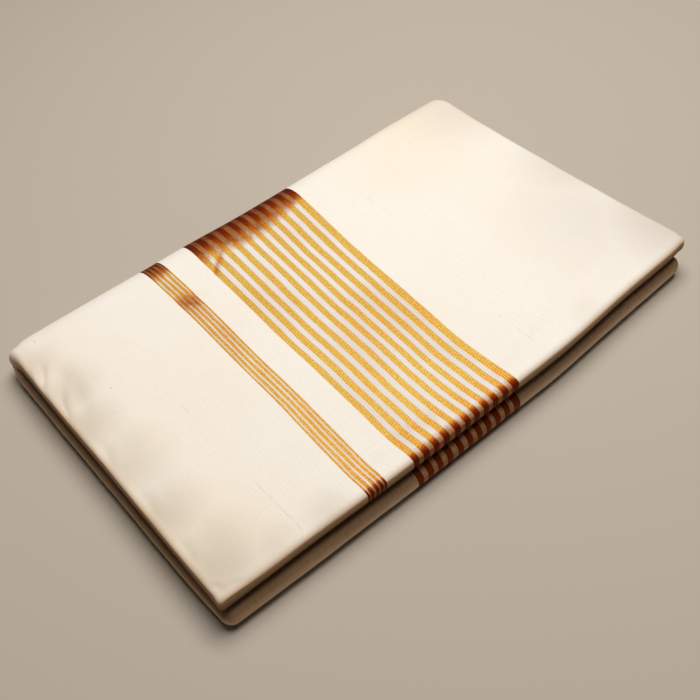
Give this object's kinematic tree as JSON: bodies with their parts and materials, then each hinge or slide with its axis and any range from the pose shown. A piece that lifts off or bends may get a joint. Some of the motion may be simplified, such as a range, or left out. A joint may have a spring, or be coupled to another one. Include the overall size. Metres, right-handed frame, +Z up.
{
  "type": "folded kasavu saree",
  "caption": "Cotton saree folded into a flat rectangular pack, with woven gold bands across it, rolled edges and a broad back fold; lies flat on a surface.",
  "frame": {"origin": "centre of the bounding box, on the flat underside", "axes": "+X along the pack toward its plain end, +Y from the rolled front edge toward the broad back fold, +Z up through the stacked bundles"},
  "size_m": [0.4972, 0.3226, 0.036],
  "materials": {
    "cotton": "matt undyed cream handloom cotton",
    "zari": "gold thread stripes with a metallic sheen, woven between cream stripes",
    "inner_cotton": "matt cream cotton, folded layers in shade"
  },
  "bodies": {
    "root": {"upper_left_plain": "cotton", "upper_narrow_band": "zari", "upper_plain_strip": "cotton", "upper_broad_band": "zari", "upper_right_plain": "cotton", "lower_left_plain": "cotton", "lower_broad_band": "zari", "lower_right_plain": "cotton", "inner_layers": "inner_cotton"}
  },
  "joints": []
}
